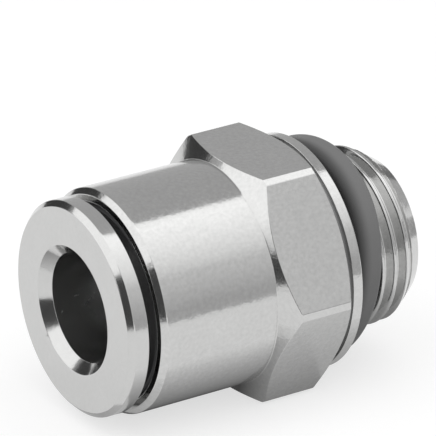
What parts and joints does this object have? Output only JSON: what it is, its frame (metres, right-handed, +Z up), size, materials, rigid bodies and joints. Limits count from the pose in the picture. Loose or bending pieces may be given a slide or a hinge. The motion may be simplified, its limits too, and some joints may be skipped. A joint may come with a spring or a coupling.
{
  "type": "straight push-in fitting",
  "caption": "Straight push-in fitting with a metal release ring, turned sleeve, hexagon, seal ring and parallel pipe thread.",
  "frame": {"origin": "on the fitting's axis, in the plane of the collar's rear rim, which meets the port's face", "axes": "+X along the axis towards the threaded end, -X towards the tube, +Z up through the middle of one flat of the hexagon"},
  "size_m": [0.0325, 0.025, 0.022],
  "materials": {
    "nickel_plated_body": "bright nickel plate on turned brass",
    "nickel_plated_ring": "bright nickel plate on turned brass",
    "dark_polymer": "moulded, matte",
    "spring_steel": "stamped stainless sheet",
    "pale_polymer": "moulded, matte",
    "black_rubber": "moulded nitrile rubber",
    "grey_rubber": "moulded rubber, dull"
  },
  "bodies": {
    "fitting": {"body": "nickel_plated_body", "guide_bush": "dark_polymer", "grip_ring": "spring_steel", "support_ring": "pale_polymer", "tube_seal": "black_rubber", "thread_seal": "grey_rubber"},
    "release": {"release_ring": "nickel_plated_ring"}
  },
  "joints": [
    {"name": "release_slide", "type": "slide", "parent": "fitting", "child": "release", "axis": [1, 0, 0], "range_m": [0, 0.001], "stiffness_N_per_m": 800, "springref_m": -0.001}
  ]
}
